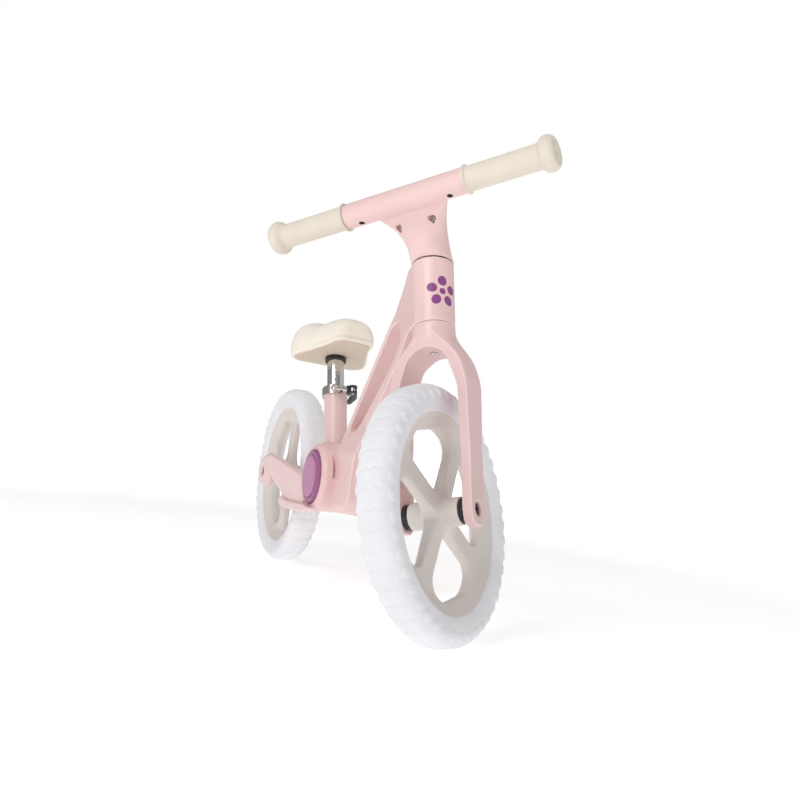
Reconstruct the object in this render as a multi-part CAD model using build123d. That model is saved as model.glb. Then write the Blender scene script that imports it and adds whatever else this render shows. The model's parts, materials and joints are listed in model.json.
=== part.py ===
from build123d import *
import os
from math import cos, radians, sin

# Balance bike for a toddler, 12 inch wheels. Millimetres.
# x points forward, y to the rider's left, z up. The origin is on the ground under the rear axle.
# The handlebar rests turned to the rider's right, and the steering group is drawn straight ahead
# in its own frame (forward, left, along the steering axis, from the front axle) and then placed.

# ---- driving dimensions ----
WHEEL_RADIUS = 145.0
WHEELBASE = 600.0
FRONT_AXLE_HEIGHT = 142.3        # the turned wheel leans, so its axle sits lower than its radius
HEAD_ANGLE = 72.0                # steering axis, above the horizontal
STEER_AT_REST = -53.3            # turned to the rider's right
HEAD_BOTTOM = 223.0              # measured along the steering axis from the front axle
HEAD_TOP = 305.0
HEAD_RADIUS = 25.4
STEERER_RADIUS = 14.3
HEADSET_BORE = 21.0
STOP_HALF_RANGE = 60.0           # steering travel each way from straight ahead
STOP_TRACK = 23.2                # the stop pin's distance from the steering axis
STOP_PIN_RADIUS = 1.4
BAR_FORWARD = 67.3               # handlebar axis, ahead of the steering axis
BAR_ALONG = 361.2
BAR_RADIUS = 11.1
SLEEVE_RADIUS = 15.0
SLEEVE_HALF = 79.0
GRIP_RADIUS = 14.6
GRIP_END = 187.5
GRIP_BORE = 2.0                  # the small hole in the grip's end face
FORK_INNER = 38.0                # half the gap between the legs
FORK_OUTER = 50.0
ARM_INNER = 36.5                 # half the gap between the rear arms
ARM_OUTER = 47.5
BOSS_FACE = 44.0
BOSS_RADIUS = 48.0
CAP_CENTRE = (269.0, 0.0, 156.0)
CAP_RADIUS = 38.5
INSERT_RADIUS = 29.5
SPAR_HALF = 17.0
BODY_HALF = 25.0
SEAT_LEAN = 20.0                 # seat tube, back from the vertical
SEAT_BASE = (244.4, 0.0, 145.0)  # a point on the seat tube's axis
SEAT_TUBE_RADIUS = 17.0
SEAT_TUBE_TOP = 150.0            # along the seat tube's axis from that point
POST_RADIUS = 12.7
POST_TOP = 203.8                 # where the post meets the saddle's underside
SADDLE_TILT = 15.6               # slope of the saddle's underside, nose up
SADDLE_TURN = 5.0                # the saddle sits slightly turned on its post, nose to the left
RUNNING = 0.05                   # radial clearance of a running fit
GAP = 0.4                        # clearance between pieces that move past each other

REAR_AXLE = (0.0, 0.0, WHEEL_RADIUS)
FRONT_AXLE = (WHEELBASE, 0.0, FRONT_AXLE_HEIGHT)

# ---- hub and bearing sizes, shared by both wheels ----
AXLE_RADIUS = 4.0
HUB_RADIUS = 16.0
HUB_HALF = 31.0
BEARING_RADIUS = 11.0
BEARING_WIDTH = 7.0
SPACER_RADIUS = 14.8
RIM_RADIUS = 113.0
RIM_HALF = 15.8
TYRE_HALF = 20.6
SPOKES = 4
FRONT_SPOKE = 27.0               # angle of one spoke at rest, up from straight ahead
REAR_SPOKE = -2.0

os.makedirs("parts", exist_ok=True)

head_slope = radians(HEAD_ANGLE)
axis_up = Vector(-cos(head_slope), 0, sin(head_slope))
axis_forward = Vector(sin(head_slope), 0, cos(head_slope))
turn = radians(STEER_AT_REST)
straight_head = Plane(origin=FRONT_AXLE, x_dir=axis_forward, z_dir=axis_up)
turned_forward = axis_forward * cos(turn) + Vector(0, 1, 0) * sin(turn)
turned_head = Plane(origin=FRONT_AXLE, x_dir=turned_forward, z_dir=axis_up)

lean = radians(SEAT_LEAN)
post_up = Vector(-sin(lean), 0, cos(lean))
post_forward = Vector(cos(lean), 0, sin(lean))
seat_frame = Plane(origin=SEAT_BASE, x_dir=post_forward, z_dir=post_up)
tilt = radians(SADDLE_TILT)
post_axis = Axis((0, 0, 0), post_up)
saddle_frame = Plane(origin=seat_frame.from_local_coords(Vector(0, 0, POST_TOP)),
                     x_dir=Vector(cos(tilt), 0, sin(tilt)).rotate(post_axis, SADDLE_TURN),
                     z_dir=Vector(-sin(tilt), 0, cos(tilt)).rotate(post_axis, SADDLE_TURN))


def save(name, *pieces):
    """Write one sub-part. A group of identical pieces becomes a compound of separate solids."""
    solids = [solid for piece in pieces for solid in piece.solids()]
    shape = solids[0] if len(solids) == 1 else Compound(children=solids)
    export_step(shape, f"parts/{name}.step")


def side_plate(points, radius, inner, outer):
    """Extrude a rounded side-view outline (x, z) between two distances to the rider's right."""
    outline = FilletPolyline(*points, radius=radius, close=True)
    face = make_face(Plane.XZ.offset(inner) * outline)
    return extrude(face, outer - inner, dir=(0, -1, 0))


def both_sides(shape):
    """A shape and its mirror image across the bike's centre plane."""
    return [shape, mirror(shape, about=Plane.XZ)]


def tube(radius, bore, low, high):
    """A round tube along local z."""
    body = Pos(0, 0, low) * extrude(Circle(radius), high - low)
    if bore:
        body -= Pos(0, 0, low) * extrude(Circle(bore), high - low)
    return body


def cross_tube(radius, bore, low, high):
    """A round tube along local y, from y=low to y=high."""
    return Rot(-90, 0, 0) * tube(radius, bore, low, high)


def socket_screw(head_radius, head_height, shank_radius, length, socket=2.5):
    """Socket-head screw: the head's top is at z=0 and the shank points down."""
    head = fillet(tube(head_radius, 0, -head_height, 0).edges().group_by(Axis.Z)[-1], 0.5)
    hexagon = extrude(RegularPolygon(socket, 6), -0.6 * head_height)
    return head + tube(shank_radius, 0, -length, -head_height) - hexagon


# ---- ball bearings ----

def ball_bearing(bore, outside, width, balls):
    """Inner race, ring of balls and outer race, centred on local z=0."""
    track = (bore + outside) / 2
    ball = (outside - bore) * 0.29
    half = width / 2
    groove = Torus(track, ball + RUNNING)
    inner = tube(track - 0.55 * ball, bore, -half, half) - groove
    outer = tube(outside, track + 0.55 * ball, -half, half) - groove
    step = 360 / balls
    ring = [Rot(0, 0, step * i) * Pos(track, 0, 0) * Sphere(ball) for i in range(balls)]
    return inner, ring, outer


# ---- wheels, drawn with their axle along y ----

def wheel_body(first_spoke):
    """One-piece moulded wheel: tyre channel, deep rim, four broad spokes and a long hub barrel."""
    half_profile = Polyline(
        (AXLE_RADIUS + 3, 0), (AXLE_RADIUS + 3, HUB_HALF), (HUB_RADIUS, HUB_HALF),
        (HUB_RADIUS, 13), (20, 9.5), (34, 6.5), (80, 5.5), (95, 5.5), (106, 10.5), (RIM_RADIUS, RIM_HALF),
        (RIM_RADIUS + 1, RIM_HALF - 2.5), (104, RIM_HALF - 5), (104, 0), close=True)
    section = make_face(Plane.XY * half_profile)
    solid = revolve(section + mirror(section, about=Plane.XZ), Axis.Y)
    opening = spoke_opening()
    for i in range(SPOKES):
        solid -= Rot(0, -first_spoke - 360 / SPOKES * (i + 0.5), 0) * opening
    seat = cross_tube(BEARING_RADIUS, 0, HUB_HALF - BEARING_WIDTH, HUB_HALF + 1)
    return solid - seat - mirror(seat, about=Plane.XZ)


def spoke_opening():
    """The rounded window between two spokes: pointed at the hub, wide under the rim."""
    half = [(71, 52), (94, 30)]
    corners = [(17, 0)] + half + [(x, -y) for x, y in reversed(half)]
    window = make_face(Plane.XZ * FilletPolyline(*corners, radius=[6, 16, 22, 22, 16], close=True))
    return extrude(window, 20, both=True)


def tyre_body():
    """Foam tyre: a foot in the rim's channel, full sidewalls and a rounded crown."""
    corner = 15.0
    flat = TYRE_HALF - corner
    base = RIM_RADIUS + 1.05
    crown = Polyline((104.05, 0), (104.05, RIM_HALF - 5.1), (base, RIM_HALF - 2.5),
                     (RIM_RADIUS + 0.6, RIM_HALF))
    wall = Spline((RIM_RADIUS + 0.6, RIM_HALF), (121, 19.6), (WHEEL_RADIUS - corner, TYRE_HALF),
                  tangents=[(0.75, 1), (1, 0)])
    shoulder = TangentArc((WHEEL_RADIUS - corner, TYRE_HALF), (WHEEL_RADIUS, flat), tangent=(1, 0))
    tread = Polyline((WHEEL_RADIUS, flat), (WHEEL_RADIUS, 0), (104.05, 0))
    section = make_face(crown + wall + shoulder + tread)
    return revolve(section + mirror(section, about=Plane.XZ), Axis.Y)


def hub_parts(inner_face):
    """Everything on one axle between two dropouts whose inner faces are inner_face from the middle."""
    bearing_at = HUB_HALF - BEARING_WIDTH / 2
    inner, balls, outer = ball_bearing(AXLE_RADIUS, BEARING_RADIUS, BEARING_WIDTH, 7)
    place = Pos(0, bearing_at, 0) * Rot(-90, 0, 0)
    nose = cross_tube(5.6, AXLE_RADIUS, HUB_HALF, HUB_HALF + GAP)
    spacer = nose + cross_tube(SPACER_RADIUS, AXLE_RADIUS, HUB_HALF + GAP, inner_face)
    return {
        "bearing_inner_races": both_sides(place * inner),
        "bearing_balls": [ball for one in balls for ball in both_sides(place * one)],
        "bearing_outer_races": both_sides(place * outer),
        "axle_sleeve": [cross_tube(5.5, AXLE_RADIUS, BEARING_WIDTH - HUB_HALF, HUB_HALF - BEARING_WIDTH)],
        "spacers": both_sides(spacer),
    }


def axle_parts(outer_face):
    """The axle, threaded at both ends, and the two socket screws that close it."""
    recess = 3.0
    seat = outer_face - recess - 4.0
    axle = cross_tube(AXLE_RADIUS, 0, -seat, seat) - cross_tube(2.5, 0, seat - 14, seat)
    axle -= cross_tube(2.5, 0, -seat, 14 - seat)
    screw = Pos(0, outer_face - recess, 0) * Rot(-90, 0, 0) * socket_screw(6.5, 4.0, 2.5, 16)
    return {"axle": [axle], "axle_screws": both_sides(screw)}


def axle_cut(inner_face, outer_face):
    """What the dropout loses for the axle and its sunk screw head."""
    return cross_tube(AXLE_RADIUS, 0, inner_face - 1, outer_face + 1) + \
        cross_tube(8.0, 0, outer_face - 7.0, outer_face + 1)


# ---- main frame ----

def spar():
    """The slotted spar from the head tube down to the body: two bars side by side in side view."""
    outline = [(262, 178), (292, 205), (433, 366), (474, 407), (486, 424.5), (506, 431.5), (531, 356),
               (506, 347.5), (473, 316), (409, 247), (384, 215), (374, 150), (340, 128), (270, 140)]
    radii = [4, 8, 200, 8, 4, 2, 2, 3, 14, 60, 14, 8, 4, 4]
    blank = make_face(Plane.XZ * FilletPolyline(*outline, radius=radii, close=True))
    plan = [(20, -HEAD_RADIUS + 3), (-2, -HEAD_RADIUS + 0.2), (-75, -SPAR_HALF), (-420, -SPAR_HALF),
            (-420, SPAR_HALF), (-75, SPAR_HALF), (-2, HEAD_RADIUS - 0.2), (20, HEAD_RADIUS - 3)]
    taper = extrude(straight_head * make_face(Polyline(*plan, close=True)), 450, both=True)
    return extrude(blank, 40, both=True) & taper


def spar_slot():
    """The long opening between the spar's two bars."""
    corners = [(318, 222), (437, 360), (466, 366), (478, 342), (448, 308), (355, 226)]
    window = make_face(Plane.XZ * FilletPolyline(*corners, radius=[6, 20, 13, 12, 60, 10], close=True))
    return extrude(window, 60, both=True)


def lower_body():
    """The block that joins the spar, the seat tube and both arm bosses."""
    outline = [(214, 122), (262, 113), (350, 116), (373, 132), (375, 185), (403, 243), (366, 248),
               (308, 206), (222, 206)]
    radii = [8, 30, 12, 12, 60, 4, 4, 20, 10]
    side = extrude(Plane.XZ * make_face(FilletPolyline(*outline, radius=radii, close=True)), 60, both=True)
    wide = BODY_HALF
    right = [(-SPAR_HALF, 250), (-SPAR_HALF, 236), (-wide, 196), (-wide, 124), (-wide + 10, 105)]
    front = right + [(-y, z) for y, z in reversed(right)]
    ends = [1, 40, 40, 8, 4]
    front_view = Plane(origin=(0, 0, 0), x_dir=(0, 1, 0), z_dir=(1, 0, 0))
    girth = make_face(front_view * FilletPolyline(*front, radius=ends + ends[::-1], close=True))
    return side & extrude(girth, 500)


def rear_arm():
    """The right arm: hooked dropout, plate, foot ledge and the round boss for the cap."""
    plate = [(-31, 140), (-24, 163), (-2, 172), (30, 178), (62, 176), (121, 169), (224, 157),
             (262, 108), (182, 102), (137, 105), (128, 120), (88, 130), (66, 136), (46, 143),
             (44, 130), (22, 122), (-18, 126)]
    radii = [12, 12, 18, 12, 30, 30, 8, 20, 20, 8, 8, 20, 8, 6, 8, 12, 12]
    arm = side_plate(plate, radii, ARM_INNER, ARM_OUTER)
    arm = fillet(arm.faces().filter_by(Axis.Y).edges(), 3.5)
    ledge_outline = [(134, 116), (137, 104), (182, 101), (262, 104), (300, 113), (262, 116), (182, 113)]
    ledge = side_plate(ledge_outline, [5, 6, 20, 20, 2, 20, 20], ARM_INNER - 1, ARM_OUTER + 5)
    ledge = fillet(ledge.faces().filter_by(Axis.Y).edges(), 1.5)
    boss = Pos(*CAP_CENTRE) * Rot(90, 0, 0) * boss_body()
    return arm + ledge + boss - cap_socket()


def boss_body():
    """A round boss with a soft outer rim, along local z."""
    body = tube(BOSS_RADIUS, 0, 0, BOSS_FACE)
    return fillet(body.edges().group_by(Axis.Z)[-1], 8)


def cap_socket():
    """The round seat in the boss that the purple cap clips into."""
    return Pos(*CAP_CENTRE) * Rot(90, 0, 0) * tube(CAP_RADIUS + 0.3, 0, BOSS_FACE - 6, BOSS_FACE + 20)


def arm_gaps():
    """The narrow curved gap between each boss and the body's front."""
    slit = side_plate([(300, 196), (321, 186), (324, 150), (312, 160)], [3, 8, 3, 4], 26.0, 29.0)
    return both_sides(slit)


def seat_tube():
    """The leaning tube that the seatpost slides in, without its bore."""
    return seat_frame * tube(SEAT_TUBE_RADIUS, 0, 10, SEAT_TUBE_TOP)


def seat_bore():
    """The post's bore and the pinch slot at the front of the tube's top."""
    bore = tube(POST_RADIUS + RUNNING, 0, 20, SEAT_TUBE_TOP + 5)
    slot = Pos(SEAT_TUBE_RADIUS, 0, SEAT_TUBE_TOP - 1) * Box(16, 2.2, 20)
    return seat_frame * (bore + slot)


def head_tube():
    """The head tube's outside."""
    return straight_head * tube(HEAD_RADIUS, 0, HEAD_BOTTOM, HEAD_TOP)


def head_bore():
    """Steerer passage, a bearing seat at each end and the steering stop's arc groove."""
    passage = tube(STEERER_RADIUS + 3, 0, HEAD_BOTTOM - 5, HEAD_TOP + 5)
    lower = tube(HEADSET_BORE, 0, HEAD_BOTTOM - 5, HEAD_BOTTOM + BEARING_WIDTH + 1)
    upper = tube(HEADSET_BORE, 0, HEAD_TOP - BEARING_WIDTH - 1, HEAD_TOP + 5)
    return straight_head * (passage + lower + upper)


def stop_groove():
    """Arc groove in the head tube's lower face. The fork's pin meets its ends at full lock."""
    reach = 8
    wide = STOP_PIN_RADIUS + 0.35
    end_angle = STOP_HALF_RANGE + 3.7
    path_ring = tube(STOP_TRACK + wide, STOP_TRACK - wide, HEAD_BOTTOM - 1, HEAD_BOTTOM + reach)
    start = 180 - end_angle
    wedge = Rot(0, 0, start) * extrude(
        make_face(Polyline((0, 0), (60, 0), (60 * cos(radians(end_angle)), 60 * sin(radians(end_angle))),
                           (60 * cos(radians(2 * end_angle)), 60 * sin(radians(2 * end_angle))), close=True)),
        HEAD_TOP)
    return straight_head * (path_ring & wedge)


def frame_casting():
    """The whole main frame as one casting."""
    right_arm = rear_arm()
    body = spar() + lower_body() - spar_slot() + head_tube() + seat_tube()
    body += right_arm
    body += mirror(right_arm, about=Plane.XZ)
    body -= head_bore()
    body -= stop_groove()
    body -= seat_bore()
    for gap in arm_gaps():
        body -= gap
    cut = Pos(*REAR_AXLE) * axle_cut(ARM_INNER, ARM_OUTER)
    for hole in both_sides(cut):
        body -= hole
    return body


def cap_ring():
    """The purple cap: a disc with a soft raised rim and a seat for its insert."""
    disc = tube(CAP_RADIUS, 0, BOSS_FACE - 5.7, BOSS_FACE + 3.5)
    disc = fillet(disc.edges().group_by(Axis.Z)[-1], 3)
    return disc - tube(INSERT_RADIUS + 0.4, 0, BOSS_FACE - 1, BOSS_FACE + 10)


def cap_insert():
    """The lighter round button in the middle of the cap."""
    disc = tube(INSERT_RADIUS, 0, BOSS_FACE - 1, BOSS_FACE + 6.5)
    return fillet(disc.edges().group_by(Axis.Z)[-1], 2)


def both_caps(piece):
    """A cap piece drawn along z, placed on the right boss and mirrored to the left one."""
    return both_sides(Pos(*CAP_CENTRE) * Rot(90, 0, 0) * piece)


# ---- seat clamp, drawn in the seat tube's frame ----

COLLAR_LOW = SEAT_TUBE_TOP - 11.5
COLLAR_HIGH = SEAT_TUBE_TOP - 2
COLLAR_WALL = 3.2
SKEWER_FORWARD = SEAT_TUBE_RADIUS + COLLAR_WALL + 4.5
SKEWER_ALONG = (COLLAR_LOW + COLLAR_HIGH) / 2
EAR_HALF = 8.5
PIVOT_SIDE = EAR_HALF + 9.5       # the lever's pivot, to the rider's left of the middle
LEVER_RADIUS = 7.0


def clamp_collar():
    """Split ring round the seat tube's top, with two ears for the skewer."""
    ring = tube(SEAT_TUBE_RADIUS + COLLAR_WALL, SEAT_TUBE_RADIUS, COLLAR_LOW, COLLAR_HIGH)
    lip = tube(SEAT_TUBE_RADIUS + COLLAR_WALL, POST_RADIUS + 0.8, COLLAR_HIGH, SEAT_TUBE_TOP + 1.6)
    lip -= tube(SEAT_TUBE_RADIUS, 0, COLLAR_HIGH, SEAT_TUBE_TOP)
    ears = Pos(SKEWER_FORWARD - 2.5, 0, SKEWER_ALONG) * Box(12, 2 * EAR_HALF, COLLAR_HIGH - COLLAR_LOW)
    ears = fillet(ears.edges().filter_by(Axis.Y).group_by(Axis.X)[-1], 4.5)
    ears -= tube(SEAT_TUBE_RADIUS + 1, 0, 0, SEAT_TUBE_TOP)
    body = ring + lip + ears
    body -= Pos(SKEWER_FORWARD, 0, SKEWER_ALONG) * Box(30, 3, 40)
    body -= Pos(SKEWER_FORWARD, 0, SKEWER_ALONG) * cross_tube(2.6, 0, -20, 20)
    return seat_frame * body


def at_skewer(shape):
    """Place a piece drawn along y through the clamp's ears."""
    return seat_frame * Pos(SKEWER_FORWARD, 0, SKEWER_ALONG) * shape


def skewer():
    """The clamp's rod: threaded end on the right, an eye for the pivot barrel on the left."""
    rod = cross_tube(2.5, 0, -EAR_HALF - 7, PIVOT_SIDE - 2.5)
    eye = Pos(0, PIVOT_SIDE, 0) * tube(4.2, 2.0, -3.2, 3.2)
    rod -= Pos(0, PIVOT_SIDE, 0) * tube(2.0, 0, -9, 9)
    return at_skewer(rod + eye)


def skewer_nut():
    """Six-sided nut on the rider's right."""
    nut = Rot(90, 0, 0) * Pos(0, 0, EAR_HALF) * extrude(RegularPolygon(6, 6), 5.5)
    nut = chamfer(nut.faces().sort_by(Axis.Y)[0].edges(), 0.7)
    return at_skewer(nut - cross_tube(2.5, 0, -EAR_HALF - 10, 0))


def cam_washer():
    """The concave washer that the lever's cam rolls on."""
    disc = cross_tube(6.0, 2.6, EAR_HALF, EAR_HALF + 4.0)
    return at_skewer(disc - Pos(0, PIVOT_SIDE, 0) * tube(LEVER_RADIUS + 0.3, 0, -20, 20))


def pivot_barrel():
    """The pin through the skewer's eye that the lever turns on."""
    return at_skewer(Pos(0, PIVOT_SIDE, 0) * tube(2.0, 0, -6.3, 6.3))


def clamp_lever():
    """Quick-release lever: a forked cam and a flat handle that closes back round the tube."""
    cam = tube(LEVER_RADIUS, 0, -6, 6)
    handle = [(0, -4.5), (2.5, 6.3), (-22, 15.5), (-46, 14.5), (-49, 11), (-46, 8), (-24, 7.5), (-8, 2)]
    blade = make_face(Plane.XY * FilletPolyline(*handle, radius=[0.5, 4, 12, 3, 3, 3, 14, 2], close=True))
    blade = extrude(blade, 4.2, both=True)
    blade = fillet(blade.faces().filter_by(Axis.Z).edges(), 1.2)
    lever = cam + blade
    lever -= Box(17, 30, 7.2)
    lever -= tube(2.0 + RUNNING, 0, -12, 12)
    return at_skewer(Pos(0, PIVOT_SIDE, 0) * lever)


# ---- seatpost in the seat tube's frame, saddle in its own: z=0 is the saddle's underside ----

POST_BOTTOM = 62.0
SADDLE_REAR = -40.0              # plan of the saddle's underside, from the post's axis
SADDLE_NOSE = 70.0
REAR_HALF = 57.5
NOSE_HALF = 25.0
OVERHANG = 6.5                   # how far the cushion stands out past the base
WING_OVERHANG = 4.0              # what its wide rear wings add to that
SCREW_CIRCLE = 17.5
SADDLE_TOP = 391.0               # height of the cushion's top above the ground
BASE_THICK = 6.0


def seatpost():
    """Chromed post with a round top plate inside the saddle."""
    post = seat_frame * tube(POST_RADIUS, POST_RADIUS - 1.6, POST_BOTTOM, POST_TOP)
    neck = seat_frame * tube(POST_RADIUS, 0, POST_TOP - 2, POST_TOP + BASE_THICK + 1)
    plate = tube(22, 0, BASE_THICK, BASE_THICK + 2.5)
    holes = around_post(tube(2.0, 0, 0, 20))
    return post + neck + saddle_frame * (plate - holes)


def around_post(shape):
    """Four copies of a saddle screw or its hole, around the post."""
    return [Rot(0, 0, 90 * i + 45) * Pos(SCREW_CIRCLE, 0, 0) * shape for i in range(4)]


def post_ring():
    """Black rubber ring where the post enters the saddle."""
    ring = seat_frame * tube(15.8, POST_RADIUS, POST_TOP - 7, POST_TOP + 6)
    return ring & saddle_frame * (Pos(0, 0, -20) * Box(60, 60, 40))


def saddle_plan(overhang=0, wing=0):
    """Plan of the saddle, wide behind and narrow at the nose."""
    rear, nose = SADDLE_REAR - overhang, SADDLE_NOSE + overhang
    wide, narrow = REAR_HALF + overhang + wing, NOSE_HALF + overhang
    half = [(rear, -wide * 0.8), (rear + 14, -wide), (17, -wide * 0.74), (52, -narrow * 1.18),
            (nose, -narrow)]
    corners = half + [(x, -y) for x, y in reversed(half)]
    radii = [14, 9, 60, 60, 12]
    return make_face(FilletPolyline(*corners, radius=radii + radii[::-1], close=True))


def saddle_base():
    """Moulded shell under the cushion. The post's top plate is screwed up into it."""
    base = extrude(saddle_plan(), BASE_THICK) + tube(27, 0, 0, BASE_THICK + 10)
    base -= tube(22.2, 0, BASE_THICK, BASE_THICK + 2.7)
    base -= around_post(tube(1.9, 0, -1, BASE_THICK + 8))
    neck_hole = seat_frame * tube(POST_RADIUS + 0.1, 0, POST_TOP - 6, POST_TOP + BASE_THICK + 2)
    return saddle_frame * base - neck_hole


def saddle_screws():
    """Four screws that hold the base to the post's plate."""
    screw = Rot(0, 180, 0) * socket_screw(1.9, 2.5, 1.5, 11, socket=1.0)
    return [saddle_frame * piece for piece in around_post(Pos(0, 0, BASE_THICK - 3) * screw)]


def saddle_cushion():
    """Wedge of foam on the base: its top is level although the base slopes."""
    block = saddle_frame * extrude(Pos(0, 0, BASE_THICK) * saddle_plan(OVERHANG, WING_OVERHANG), 90)
    level = Pos(150, 0, SADDLE_TOP) * Box(400, 400, 200, align=(Align.CENTER, Align.CENTER, Align.MAX))
    hollow = saddle_frame * tube(27.3, 0, 0, BASE_THICK + 10.3)
    return (block & level) - hollow


# ---- fork and steering group, drawn straight ahead ----

def fork_casting():
    """Crown, arch and two flat legs with round ends."""
    crown = HEAD_BOTTOM - GAP
    outer = [(25.2, crown), (26, 206), (42.5, 178), (FORK_OUTER, 150), (FORK_OUTER, -22)]
    inner = [(FORK_INNER, -22), (FORK_INNER, 140), (24, 180), (0, 195)]
    left = outer + inner
    outline = left + [(-x, y) for x, y in reversed(left[:-1])]
    radii = [1, 14, 16, 30, 2, 2, 45, 24, 22, 24, 45, 2, 2, 30, 16, 14, 1]
    front = Plane(origin=(0, 0, 0), x_dir=(0, 1, 0), z_dir=(1, 0, 0))
    arch = extrude(front * make_face(FilletPolyline(*outline, radius=radii, close=True)), 40, both=True)
    leg_end = 17.0
    side = [(-25.2, crown), (-20.5, 170), (-16, 70), (-leg_end, 0), (-13, -19), (13, -19),
            (leg_end, 0), (17, 70), (22.5, 170), (25.2, crown)]
    side_radii = [1, 60, 60, 8, 11, 11, 8, 60, 60, 1]
    blade = extrude(Plane.XZ * make_face(FilletPolyline(*side, radius=side_radii, close=True)), 80, both=True)
    body = arch & blade & crown_flare(crown)
    body += tube(HEAD_RADIUS, 0, 200, crown)
    body -= tube(STEERER_RADIUS, 0, crown - 22, crown + 5)
    body -= crown_screw_seat()
    body -= Rot(0, 0, 180) * Pos(STOP_TRACK, 0, 0) * tube(STOP_PIN_RADIUS, 0, crown - 8, crown + 1)
    for hole in both_sides(axle_cut(FORK_INNER, FORK_OUTER)):
        body -= hole
    return body


def crown_flare(crown):
    """A bell-shaped envelope that rounds the crown's corners from the head tube out to the legs."""
    bell = Spline((25.3, crown), (27.5, 206), (44, 178), (52.5, 148), (57, 100))
    rest = Polyline((57, 100), (60, -20), (0, -20), (0, crown), (25.3, crown))
    return revolve(Plane.XZ * make_face(bell + rest), Axis.Z)


def steerer():
    """Steel tube pressed into the crown, up through the head tube and into the stem."""
    body = tube(STEERER_RADIUS, STEERER_RADIUS - 1.8, HEAD_BOTTOM - GAP - 22, HEAD_TOP + 27)
    plug = tube(STEERER_RADIUS - 1.8, 2.5, HEAD_BOTTOM - GAP - 22, HEAD_BOTTOM - GAP - 12)
    return body + plug


def crown_screw():
    """Screw up through the crown into the steerer's lower plug."""
    return Pos(0, 0, 190) * Rot(180, 0, 0) * socket_screw(3.6, 3.5, 2.5, 20, socket=1.6)


def crown_screw_seat():
    """The spot face and clearance hole for that screw under the crown."""
    return tube(4.2, 0, 150, 193.5) + tube(2.9, 0, 190, HEAD_BOTTOM)


def stop_pin():
    """The steering stop: a pin standing up from the back of the crown."""
    low = HEAD_BOTTOM - GAP - 8
    return Rot(0, 0, 180) * Pos(STOP_TRACK, 0, 0) * tube(STOP_PIN_RADIUS, 0, low, HEAD_BOTTOM + 5)


def headset(which):
    """Inner races, balls or outer races of both headset bearings, straight ahead."""
    low = HEAD_BOTTOM + 1 + BEARING_WIDTH / 2
    high = HEAD_TOP - 1 - BEARING_WIDTH / 2
    inner, balls, outer = ball_bearing(STEERER_RADIUS, HEADSET_BORE, BEARING_WIDTH, 18)
    chosen = {"inner": [inner], "balls": balls, "outer": [outer]}[which]
    return [Pos(0, 0, at) * piece for at in (low, high) for piece in chosen]


def headset_seal():
    """Black ring that closes the gap between the head tube and the stem."""
    return tube(HEAD_RADIUS - 1.6, STEERER_RADIUS, HEAD_TOP + 0.3, HEAD_TOP + 1.5)


# ---- stem, handlebar and grips ----

STEM_LOW = HEAD_TOP + 1.5
# Sections of the stem's web: forward, along, tilt from level, half depth, half width.
STEM_SECTIONS = [(0, STEM_LOW, 0, 25.6, 25.6), (7, 322, 12, 27, 24.5), (20, 342, 34, 23, 29),
                 (38, 355, 55, 17, 40), (62, 361, 75, 11, 54)]


def stem_web():
    """The neck of the stem, lofted from a round foot to a wide flat head under the sleeve."""
    rings = []
    for forward, along, tilt, depth, width in STEM_SECTIONS:
        rings.append(Pos(forward, 0, along) * Rot(0, tilt, 0) * Ellipse(depth, width))
    return loft(rings)


def screw_pocket(side):
    """A heart-like pocket in the stem's front, with the pinch screw's hole at its bottom."""
    outline = [(-4.6, 3.2), (0, 2.2), (4.6, 3.2), (4.2, -1.5), (0, -7.5), (-4.2, -1.5)]
    face = make_face(FilletPolyline(*outline, radius=[2.2, 0.6, 2.2, 2, 1, 2], close=True))
    pocket = extrude(face, 30)
    hole = Pos(0, -1, -12) * extrude(Circle(2.0), 13)
    return pocket_place(side) * (pocket + hole)


def pocket_place(side):
    """The floor of a pinch screw's pocket, facing forward and a little down."""
    return Plane(origin=(37.5, side * 22.0, 345.5), x_dir=(0, 1, 0), z_dir=(0.9, 0, -0.44))


def stem():
    """One casting: neck, round foot and the long sleeve that holds the handlebar."""
    body = stem_web() + tube(25.8, 0, STEM_LOW, STEM_LOW + 3)
    sleeve = bar_place * cross_tube(SLEEVE_RADIUS, 0, -SLEEVE_HALF, SLEEVE_HALF)
    body = body + sleeve
    body -= bar_place * cross_tube(BAR_RADIUS, 0, -100, 100)
    body -= tube(STEERER_RADIUS, 0, STEM_LOW - 1, HEAD_TOP + 27.5)
    for side in (-1, 1):
        body -= screw_pocket(side)
        body -= bar_place * set_screw_hole(side)
    slit = Rot(0, 0, 60) * Pos(24, 0, STEM_LOW + 13) * Box(14, 1.1, 17)
    return body - slit


bar_place = Pos(BAR_FORWARD, 0, BAR_ALONG)


def set_screw_hole(side):
    """A radial hole up into the sleeve from below, near its end."""
    return Pos(0, side * 58.6, -18) * extrude(Circle(3.6), 8)


def set_screws():
    """Two black set screws that lock the handlebar in the sleeve."""
    screw = Pos(0, 0, -14.0) * extrude(Circle(3.6), 14.0 - BAR_RADIUS)
    screw -= Pos(0, 0, -15) * extrude(RegularPolygon(1.7, 6), 2.5)
    return [bar_place * Pos(0, side * 58.6, 0) * screw for side in (-1, 1)]


def pinch_screws():
    """Two bright screws at the bottom of the stem's pockets."""
    screw = socket_screw(2.6, 2.4, 2.0, 13, socket=1.4)
    return [pocket_place(side) * Pos(0, -1, 2.5) * screw for side in (-1, 1)]


def handlebar():
    """Straight steel tube."""
    return bar_place * cross_tube(BAR_RADIUS, BAR_RADIUS - 1.6, -GRIP_END + 4, GRIP_END - 4)


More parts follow.
